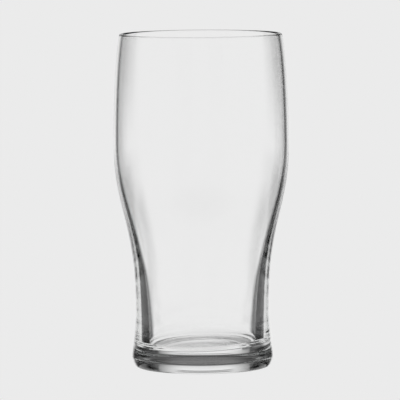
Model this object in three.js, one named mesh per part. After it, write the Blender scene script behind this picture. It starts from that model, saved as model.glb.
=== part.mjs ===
// Pint glass: a tulip-shaped beer glass, pressed and blown in one piece of clear glass.
// Millimetres, +Z up. The origin is the middle of the resting ring, where the glass
// meets the table. The body is one closed profile turned about the Z axis.
import * as THREE from 'three';

// Heights above the table
const height = 160;
const bellyHeight = 106.6;
const waistHeight = 28.4;
const footHeight = 4.85;
const floorHeight = 9.4;
const floorCrown = 0.9;

// Outside diameters, with the flat resting ring measured at its outer edge
const rimDiameter = 78.3;
const bellyDiameter = 84.2;
const waistDiameter = 63.9;
const footDiameter = 67.8;
const ringDiameter = 64;

// Walls, base and inside corner
const rimWall = 1.8;
const bellyWall = 2;
const waistWall = 5.95;
const ringWidth = 2.8;
const puntDepth = 1.1;
const cornerRadius = 3.4;

// Lean of the wall at the rim, from upright towards the axis
const rimLean = THREE.MathUtils.degToRad(9.6);

// How far each curve keeps its end direction, as a share of the height it climbs or, where
// it lies flat, of the width it crosses
const heelShares = { leave: 0.39, arrive: 0.35 };
const footShares = { leave: 0.1, arrive: 0.53 };
const flareShares = { leave: 0.54, arrive: 0.39 };
const shoulderShares = { leave: 0.28, arrive: 0.24 };
const wellShares = { leave: 0.33, arrive: 0.56 };
const floorShares = { leave: 0.15, arrive: 0.45 };
const puntShares = { leave: 0.55, arrive: 0.25 };

// Facets: around the glass, and along each stretch of the profile
const turnSteps = 84;
const puntSteps = 4;
const heelSteps = 4;
const footSteps = 5;
const flareSteps = 9;
const shoulderSteps = 5;
const lipSteps = 6;
const cornerSteps = 4;
const floorSteps = 3;

const point = (radius, z) => new THREE.Vector2(radius, z);
const bezier = (...points) => new THREE.CubicBezierCurve(...points);
const arc = (centre, radius, start, end, clockwise) =>
  new THREE.EllipseCurve(centre.x, centre.y, radius, radius, start, end, clockwise);

// An upright S between two points whose directions are both vertical
function upright(from, to, shares) {
  const climb = to.y - from.y;
  return bezier(
    from,
    point(from.x, from.y + climb * shares.leave),
    point(to.x, to.y - climb * shares.arrive),
    to,
  );
}

// Underside: a shallow dished recess inside the flat ring, then the rounded heel
function underside() {
  const ringOuter = ringDiameter / 2;
  const ringInner = ringOuter - ringWidth;
  const punt = bezier(
    point(0, puntDepth),
    point(ringInner * puntShares.leave, puntDepth),
    point(ringInner * (1 - puntShares.arrive), 0),
    point(ringInner, 0),
  );
  const footRadius = footDiameter / 2;
  const heel = bezier(
    point(ringOuter, 0),
    point(ringOuter + (footRadius - ringOuter) * heelShares.leave, 0),
    point(footRadius, footHeight * (1 - heelShares.arrive)),
    point(footRadius, footHeight),
  );
  return [...punt.getPoints(puntSteps), ...heel.getPoints(heelSteps)];
}

// The rim's round lip is half a circle, turned by the lean so that it meets both walls
// without a corner
function rim() {
  const radius = rimWall / 2;
  const centre = point(rimDiameter / 2 - radius, height - radius);
  const across = point(Math.cos(rimLean), Math.sin(rimLean));
  const down = point(Math.sin(rimLean), -Math.cos(rimLean));
  const lip = arc(centre, radius, rimLean, rimLean + Math.PI, false);
  const outer = centre.clone().addScaledVector(across, radius);
  const inner = centre.clone().addScaledVector(across, -radius);
  return { lip, outer, inner, down };
}

// From the belly's widest line up to a point on the lip, where it leans inwards
function shoulder(belly, lipPoint, down) {
  const climb = lipPoint.y - belly.y;
  return bezier(
    belly,
    point(belly.x, belly.y + climb * shoulderShares.leave),
    lipPoint.clone().addScaledVector(down, climb * shoulderShares.arrive),
    lipPoint,
  );
}

function outerWall({ outer, down }) {
  const foot = point(footDiameter / 2, footHeight);
  const waist = point(waistDiameter / 2, waistHeight);
  const belly = point(bellyDiameter / 2, bellyHeight);
  return [
    ...upright(foot, waist, footShares).getPoints(footSteps),
    ...upright(waist, belly, flareShares).getPoints(flareSteps),
    ...shoulder(belly, outer, down).getPoints(shoulderSteps),
  ];
}

// Inside: the wall is thin down to the belly and thickens towards the waist, then turns
// into the floor of the well, which rises a little to its middle
function innerWall({ inner, down }) {
  const belly = point(bellyDiameter / 2 - bellyWall, bellyHeight);
  const wellRadius = waistDiameter / 2 - waistWall;
  const cornerCentre = point(wellRadius - cornerRadius, floorHeight + cornerRadius);
  const wellTop = point(wellRadius, cornerCentre.y);
  const corner = arc(cornerCentre, cornerRadius, 0, -Math.PI / 2, true);
  const floor = bezier(
    point(cornerCentre.x, floorHeight),
    point(cornerCentre.x * (1 - floorShares.leave), floorHeight),
    point(cornerCentre.x * floorShares.arrive, floorHeight + floorCrown),
    point(0, floorHeight + floorCrown),
  );
  return [
    ...shoulder(belly, inner, down).getPoints(shoulderSteps).reverse(),
    ...upright(belly, wellTop, wellShares).getPoints(flareSteps),
    ...corner.getPoints(cornerSteps),
    ...floor.getPoints(floorSteps),
  ];
}

// Neighbouring stretches share their end point, which the profile holds once
function withoutRepeats(points) {
  return points.filter((p, i) => i === 0 || p.distanceTo(points[i - 1]) > 1e-6);
}

const edge = rim();
const profile = withoutRepeats([
  ...underside(),
  ...outerWall(edge),
  ...edge.lip.getPoints(lipSteps),
  ...innerWall(edge),
]);

const clearGlass = new THREE.MeshStandardMaterial({
  color: 0xe6ebe9,
  roughness: 0.04,
  metalness: 0,
  transparent: true,
  opacity: 0.35,
});

const body = new THREE.Mesh(new THREE.LatheGeometry(profile, turnSteps), clearGlass);
body.name = 'glass_body';
body.rotation.x = Math.PI / 2;

const pintGlass = new THREE.Group();
pintGlass.name = 'pint_glass';
pintGlass.add(body);

export default pintGlass;
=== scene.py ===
"""A clear tulip pint glass on a plain pale studio sweep, seen a little from above."""

import math
from collections import namedtuple

import bpy
from mathutils import Matrix, Vector


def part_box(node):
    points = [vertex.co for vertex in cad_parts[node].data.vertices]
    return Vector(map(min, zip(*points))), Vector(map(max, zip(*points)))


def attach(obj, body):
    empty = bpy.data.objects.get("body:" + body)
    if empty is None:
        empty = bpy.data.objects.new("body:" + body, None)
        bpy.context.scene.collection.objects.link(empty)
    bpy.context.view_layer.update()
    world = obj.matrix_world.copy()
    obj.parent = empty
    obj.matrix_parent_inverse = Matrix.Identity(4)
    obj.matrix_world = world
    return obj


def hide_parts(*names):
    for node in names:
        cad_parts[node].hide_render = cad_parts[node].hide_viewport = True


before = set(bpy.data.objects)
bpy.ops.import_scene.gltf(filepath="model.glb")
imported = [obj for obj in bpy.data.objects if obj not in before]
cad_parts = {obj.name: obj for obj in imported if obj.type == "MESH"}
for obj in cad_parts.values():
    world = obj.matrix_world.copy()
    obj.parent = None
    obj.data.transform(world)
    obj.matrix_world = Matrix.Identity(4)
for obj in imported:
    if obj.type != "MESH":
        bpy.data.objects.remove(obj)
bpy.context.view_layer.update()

MM = 0.001
NODE = "glass_body"
low_corner, high_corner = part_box(NODE)

# The glass, in millimetres: heights above the table, outside diameters, walls and base
HEIGHT = high_corner[2] / MM
BELLY_DIAMETER = (high_corner[0] - low_corner[0]) / MM
BELLY_HEIGHT = 106.6
WAIST_HEIGHT = 28.4
FOOT_HEIGHT = 4.85
FLOOR_HEIGHT = 9.4
FLOOR_CROWN = 0.9
RIM_DIAMETER = 78.3
WAIST_DIAMETER = 63.9
FOOT_DIAMETER = 67.8
RING_DIAMETER = 64.0
RIM_WALL = 1.8
BELLY_WALL = 2.0
WAIST_WALL = 5.95
RING_WIDTH = 2.8
PUNT_DEPTH = 1.1
CORNER_RADIUS = 3.4
RIM_LEAN = math.radians(9.6)

# How far the hand-pressed floor leans, and the height above it at which the well is straight again
FLOOR_LEAN = math.radians(2.1)
LEAN_FADE = 14.0

# How far each curve keeps its end direction, as a share of the height it climbs or the width
# it crosses. The first five were found by fits to the photograph and rounded, and the last two
# were chosen one by one.
HEEL_SHARES = (0.39, 0.35)
FOOT_SHARES = (0.10, 0.53)
FLARE_SHARES = (0.54, 0.39)
SHOULDER_SHARES = (0.28, 0.24)
WELL_SHARES = (0.33, 0.56)
FLOOR_SHARES = (0.15, 0.45)
PUNT_SHARES = (0.55, 0.25)

# Fineness of the visible mesh, and how close two points of the profile are to be the same
TURN_STEPS = 256
CURVE_STEPS = 40
ARC_STEPS = 34
SAME_POINT = 1e-5

# The photograph's camera: distance, look-down angle, roll and scale on the glass
IMAGE_PIXELS = 400
CAMERA_DISTANCE = 11.3 * HEIGHT * MM
CAMERA_ELEVATION = math.radians(5.26)
CAMERA_ROLL = math.radians(-0.38)
PIXELS_PER_MM = 2.081
AXIS_PIXEL_X = 201.6
MIDDLE_PIXEL_Y = 199.9
SENSOR_MM = 36.0
CLIP_START, CLIP_END = 0.1, 20

# The level of the pale floor, backdrop and sky
PALE = 0.8308

# The glass: how it bends light, how clear it is, its tint, and the slight ripple of its surface
GLASS_IOR = 1.52
GLASS_ROUGHNESS = 0.03
TINT_COLOUR = (0.80, 0.84, 0.83, 1)
TINT_DENSITY = 2.0
RIPPLE_SCALE = 60
RIPPLE_DETAIL = 2
RIPPLE_STRENGTH = 0.02
RIPPLE_DEPTH = 0.0002

# Bounces of light inside the thick wall and base
LIGHT_BOUNCES = 32


def bezier(p0, p1, p2, p3, steps):
    points = []
    for i in range(steps + 1):
        t = i / steps
        s = 1 - t
        points.append(p0 * s**3 + p1 * 3 * s * s * t + p2 * 3 * s * t * t + p3 * t**3)
    return points


def arc(centre, radius, start, end, steps):
    angles = [start + (end - start) * i / steps for i in range(steps + 1)]
    return [centre + Vector((radius * math.cos(a), radius * math.sin(a))) for a in angles]


def upright(start, end, shares):
    """An S between two points of the profile whose directions are both vertical."""
    climb = end.y - start.y
    leave = start + Vector((0, climb * shares[0]))
    arrive = end - Vector((0, climb * shares[1]))
    return bezier(start, leave, arrive, end, CURVE_STEPS)


def underside():
    ring_outer = RING_DIAMETER / 2
    ring_inner = ring_outer - RING_WIDTH
    punt = bezier(
        Vector((0, PUNT_DEPTH)),
        Vector((ring_inner * PUNT_SHARES[0], PUNT_DEPTH)),
        Vector((ring_inner * (1 - PUNT_SHARES[1]), 0)),
        Vector((ring_inner, 0)),
        CURVE_STEPS,
    )
    foot_radius = FOOT_DIAMETER / 2
    heel = bezier(
        Vector((ring_outer, 0)),
        Vector((ring_outer + (foot_radius - ring_outer) * HEEL_SHARES[0], 0)),
        Vector((foot_radius, FOOT_HEIGHT * (1 - HEEL_SHARES[1]))),
        Vector((foot_radius, FOOT_HEIGHT)),
        ARC_STEPS,
    )
    return punt + heel


def rim():
    """The round lip, where it meets the outer and the inner wall, and the way down."""
    radius = RIM_WALL / 2
    centre = Vector((RIM_DIAMETER / 2 - radius, HEIGHT - radius))
    across = Vector((math.cos(RIM_LEAN), math.sin(RIM_LEAN)))
    down = Vector((math.sin(RIM_LEAN), -math.cos(RIM_LEAN)))
    lip = arc(centre, radius, RIM_LEAN, RIM_LEAN + math.pi, ARC_STEPS)
    return lip, centre + across * radius, centre - across * radius, down


def shoulder(belly, lip_point, down):
    climb = lip_point.y - belly.y
    leave = belly + Vector((0, climb * SHOULDER_SHARES[0]))
    arrive = lip_point + down * climb * SHOULDER_SHARES[1]
    return bezier(belly, leave, arrive, lip_point, CURVE_STEPS)


def outer_wall(outer, down):
    foot = Vector((FOOT_DIAMETER / 2, FOOT_HEIGHT))
    waist = Vector((WAIST_DIAMETER / 2, WAIST_HEIGHT))
    belly = Vector((BELLY_DIAMETER / 2, BELLY_HEIGHT))
    return (
        upright(foot, waist, FOOT_SHARES)
        + upright(waist, belly, FLARE_SHARES)
        + shoulder(belly, outer, down)
    )


def inner_wall(inner, down):
    belly = Vector((BELLY_DIAMETER / 2 - BELLY_WALL, BELLY_HEIGHT))
    well_radius = WAIST_DIAMETER / 2 - WAIST_WALL
    corner_centre = Vector((well_radius - CORNER_RADIUS, FLOOR_HEIGHT + CORNER_RADIUS))
    well_top = Vector((well_radius, corner_centre.y))
    corner = arc(corner_centre, CORNER_RADIUS, 0, -math.pi / 2, ARC_STEPS)
    floor = bezier(
        Vector((corner_centre.x, FLOOR_HEIGHT)),
        Vector((corner_centre.x * (1 - FLOOR_SHARES[0]), FLOOR_HEIGHT)),
        Vector((corner_centre.x * FLOOR_SHARES[1], FLOOR_HEIGHT + FLOOR_CROWN)),
        Vector((0, FLOOR_HEIGHT + FLOOR_CROWN)),
        ARC_STEPS,
    )
    return (
        shoulder(belly, inner, down)[::-1]
        + upright(belly, well_top, WELL_SHARES)
        + corner
        + floor
    )


def profile():
    """The whole section, from the middle of the underside round to the well's floor."""
    lip, outer, inner, down = rim()
    points = underside() + outer_wall(outer, down) + lip + inner_wall(inner, down)
    kept = points[:1]
    for point in points[1:]:
        if (point - kept[-1]).length > SAME_POINT:
            kept.append(point)
    return kept


def turned(name, section, steps):
    """Turns a section that starts and ends on the axis into a closed smooth mesh."""
    vertices = [(0, 0, section[0].y * MM)]
    for point in section[1:-1]:
        for k in range(steps):
            a = 2 * math.pi * k / steps
            vertices.append((point.x * MM * math.cos(a), point.x * MM * math.sin(a), point.y * MM))
    vertices.append((0, 0, section[-1].y * MM))
    rings = len(section) - 2
    last = len(vertices) - 1
    faces = []
    for k in range(steps):
        n = (k + 1) % steps
        faces.append((0, 1 + n, 1 + k))
        for ring in range(rings - 1):
            a = 1 + ring * steps
            b = a + steps
            faces.append((a + k, a + n, b + n, b + k))
        a = 1 + (rings - 1) * steps
        faces.append((a + k, a + n, last))
    mesh = bpy.data.meshes.new(name)
    mesh.from_pydata(vertices, [], faces)
    mesh.validate()
    mesh.shade_smooth()
    piece = bpy.data.objects.new(name, mesh)
    bpy.context.scene.collection.objects.link(piece)
    return piece


def lean_floor(piece, section):
    """Tips the well's floor a little towards -X, less and less up the well's wall."""
    top_ring = max(range(len(section)), key=lambda i: section[i].y)
    first_inside = 1 + top_ring * TURN_STEPS
    for vertex in piece.data.vertices[first_inside:]:
        above_floor = vertex.co.z / MM - FLOOR_HEIGHT
        share = min(1, max(0, 1 - above_floor / LEAN_FADE))
        vertex.co.z += vertex.co.x * math.tan(FLOOR_LEAN) * share * share * (3 - 2 * share)


def clear_glass():
    material = bpy.data.materials.new("clear_glass")
    material.use_nodes = True
    nodes, links = material.node_tree.nodes, material.node_tree.links
    shader = nodes["Principled BSDF"]
    shader.inputs["Base Color"].default_value = (1, 1, 1, 1)
    shader.inputs["Roughness"].default_value = GLASS_ROUGHNESS
    shader.inputs["IOR"].default_value = GLASS_IOR
    shader.inputs["Transmission Weight"].default_value = 1
    place = nodes.new("ShaderNodeTexCoord")
    ripple = nodes.new("ShaderNodeTexNoise")
    ripple.inputs["Scale"].default_value = RIPPLE_SCALE
    ripple.inputs["Detail"].default_value = RIPPLE_DETAIL
    bump = nodes.new("ShaderNodeBump")
    bump.inputs["Strength"].default_value = RIPPLE_STRENGTH
    bump.inputs["Distance"].default_value = RIPPLE_DEPTH
    links.new(place.outputs["Object"], ripple.inputs["Vector"])
    links.new(ripple.outputs["Fac"], bump.inputs["Height"])
    links.new(bump.outputs["Normal"], shader.inputs["Normal"])
    tint = nodes.new("ShaderNodeVolumeAbsorption")
    tint.inputs["Color"].default_value = TINT_COLOUR
    tint.inputs["Density"].default_value = TINT_DENSITY
    links.new(tint.outputs["Volume"], nodes["Material Output"].inputs["Volume"])
    return material


def plain_light(name, level):
    material = bpy.data.materials.new(name)
    material.use_nodes = True
    nodes, links = material.node_tree.nodes, material.node_tree.links
    nodes.remove(nodes["Principled BSDF"])
    glow = nodes.new("ShaderNodeEmission")
    glow.inputs["Color"].default_value = (level, level, level, 1)
    links.new(glow.outputs["Emission"], nodes["Material Output"].inputs["Surface"])
    return material


def studio_sweep():
    """A round pale floor that curves up into the backdrop, seen by the camera alone."""
    floor_radius, bend_radius, wall_height, steps = 3500, 1000, 4500, 64
    bend_centre = Vector((floor_radius, bend_radius))
    section = [Vector((0, 0)), Vector((floor_radius, 0))]
    section += arc(bend_centre, bend_radius, -math.pi / 2, 0, ARC_STEPS)[1:]
    section += [Vector((floor_radius + bend_radius, wall_height)), Vector((0, wall_height))]
    sweep = turned("studio_sweep", section, steps)
    sweep.data.materials.append(plain_light("pale_sweep", PALE))
    sweep.visible_transmission = False
    sweep.visible_glossy = False
    sweep.visible_diffuse = False
    sweep.visible_shadow = False
    sweep.visible_volume_scatter = False


# The studio's light by direction, in degrees. The backdrop's middle is turned a little off the
# camera's line, which makes the glass's right edge the darker one.
BACKDROP_AZIMUTH = 91.5
# Each sky: the elevations over which the pale level fades, and the level above them. The skies
# meet over SKY_TURN, in azimuth off the backdrop's middle.
SKY_BEHIND = (7, 13, 0.14)
SKY_IN_FRONT = (18, 28, 0.05)
SKY_TURN = (40, 85)
# Below the table the light dims a little, over these elevations
UNDER_START = (-70, -40)
UNDER_LEVEL = 0.85
# A flag takes light away between two azimuths off the backdrop's middle, on both sides of it, and
# between two elevations. Its near, far and level edges are soft by so many degrees each way, and
# dark is the share of light taken. A near edge below zero leaves no gap in the middle.
Flag = namedtuple("Flag", "near far near_soft far_soft bottom top level_soft dark")

# Each flag is named after what it darkens most in the photograph's view. A search against the
# photograph found SKY_BEHIND and most values of the first four flags, which were then rounded.
# The rest of the light was set one by one.
FLAGS = {
    "wall_edges": Flag(
        near=30, far=50, near_soft=1.2, far_soft=6, bottom=-19, top=9, level_soft=3, dark=0.8
    ),
    "wall_lines": Flag(
        near=23, far=33, near_soft=0.9, far_soft=3, bottom=-12, top=-1, level_soft=2, dark=0.8
    ),
    "base": Flag(
        near=25, far=75, near_soft=15, far_soft=15, bottom=-2, top=30, level_soft=3, dark=1.0
    ),
    "thick_wall": Flag(
        near=22, far=68, near_soft=4, far_soft=4, bottom=-21.5, top=-11, level_soft=1, dark=1.0
    ),
    "waist_band": Flag(
        near=50, far=70, near_soft=8, far_soft=8, bottom=-11, top=-6, level_soft=2.5, dark=0.5
    ),
    "flare_and_base": Flag(
        near=62, far=84, near_soft=5, far_soft=5, bottom=-36, top=-21, level_soft=4, dark=1.0
    ),
    "base_middle": Flag(
        near=-20, far=16, near_soft=2, far_soft=4, bottom=3, top=5, level_soft=1, dark=0.8
    ),
}


def studio_light():
    """A pale sweep past the horizon, a grey room above it, and dark flags round the glass."""
    world = bpy.data.worlds.new("studio")
    bpy.context.scene.world = world
    world.use_nodes = True
    nodes, links = world.node_tree.nodes, world.node_tree.links

    def math_node(operation, *values):
        node = nodes.new("ShaderNodeMath")
        node.operation = operation
        for socket, value in zip(node.inputs, values):
            if isinstance(value, (int, float)):
                socket.default_value = value
            else:
                links.new(value, socket)
        return node.outputs["Value"]

    def ramp(value, start, end, low, high):
        node = nodes.new("ShaderNodeMapRange")
        node.interpolation_type = "SMOOTHSTEP"
        node.inputs["From Min"].default_value = start
        node.inputs["From Max"].default_value = end
        node.inputs["To Min"].default_value = low
        node.inputs["To Max"].default_value = high
        links.new(value, node.inputs["Value"])
        return node.outputs["Result"]

    coords = nodes.new("ShaderNodeTexCoord")
    parts = nodes.new("ShaderNodeSeparateXYZ")
    links.new(coords.outputs["Generated"], parts.inputs["Vector"])
    azimuth = math_node("DEGREES", math_node("ARCTAN2", parts.outputs["Y"], parts.outputs["X"]))
    elevation = math_node("DEGREES", math_node("ARCSINE", parts.outputs["Z"]))
    turned_away = math_node("WRAP", math_node("SUBTRACT", azimuth, BACKDROP_AZIMUTH), 180, -180)
    off_side = math_node("ABSOLUTE", turned_away)
    sky_start, sky_end, dimmed = SKY_BEHIND
    behind = ramp(elevation, sky_start, sky_end, PALE, dimmed)
    sky_start, sky_end, dimmed = SKY_IN_FRONT
    in_front = ramp(elevation, sky_start, sky_end, PALE, dimmed)
    level = math_node(
        "ADD",
        math_node("MULTIPLY", behind, ramp(off_side, *SKY_TURN, 1, 0)),
        math_node("MULTIPLY", in_front, ramp(off_side, *SKY_TURN, 0, 1)),
    )
    level = math_node("MULTIPLY", level, ramp(elevation, *UNDER_START, UNDER_LEVEL, 1))
    for flag in FLAGS.values():
        inside = math_node(
            "MULTIPLY",
            ramp(off_side, flag.near - flag.near_soft, flag.near + flag.near_soft, 0, flag.dark),
            ramp(off_side, flag.far - flag.far_soft, flag.far + flag.far_soft, 1, 0),
        )
        within = math_node(
            "MULTIPLY",
            ramp(elevation, flag.bottom - flag.level_soft, flag.bottom + flag.level_soft, 0, 1),
            ramp(elevation, flag.top - flag.level_soft, flag.top + flag.level_soft, 1, 0),
        )
        kept_light = math_node("SUBTRACT", 1, math_node("MULTIPLY", inside, within))
        level = math_node("MULTIPLY", level, kept_light)
    links.new(level, nodes["Background"].inputs["Color"])


def photo_camera():
    scene = bpy.context.scene
    data = bpy.data.cameras.new("photo_camera")
    data.sensor_width = SENSOR_MM
    data.lens = PIXELS_PER_MM * CAMERA_DISTANCE / MM / IMAGE_PIXELS * SENSOR_MM
    data.clip_start, data.clip_end = CLIP_START, CLIP_END
    camera = bpy.data.objects.new("photo_camera", data)
    scene.collection.objects.link(camera)
    right = (AXIS_PIXEL_X - IMAGE_PIXELS / 2) / PIXELS_PER_MM * MM
    below = (MIDDLE_PIXEL_Y - IMAGE_PIXELS / 2) / PIXELS_PER_MM * MM
    aim = Vector((-right, 0, HEIGHT * MM / 2 + below))
    back = Vector((0, -math.cos(CAMERA_ELEVATION), math.sin(CAMERA_ELEVATION)))
    turn = (-back).to_track_quat("-Z", "Y").to_matrix().to_4x4()
    camera.matrix_world = (
        Matrix.Translation(aim + back * CAMERA_DISTANCE) @ turn @ Matrix.Rotation(CAMERA_ROLL, 4, "Z")
    )
    scene.camera = camera


photo_camera()
scene = bpy.context.scene
scene.view_settings.view_transform = "Standard"
scene.cycles.max_bounces = LIGHT_BOUNCES
scene.cycles.transmission_bounces = LIGHT_BOUNCES
scene.cycles.glossy_bounces = LIGHT_BOUNCES
studio_sweep()
studio_light()

section = profile()
glass = turned("pint_glass", section, TURN_STEPS)
lean_floor(glass, section)
glass.data.materials.append(clear_glass())
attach(glass, "root")
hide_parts(NODE)
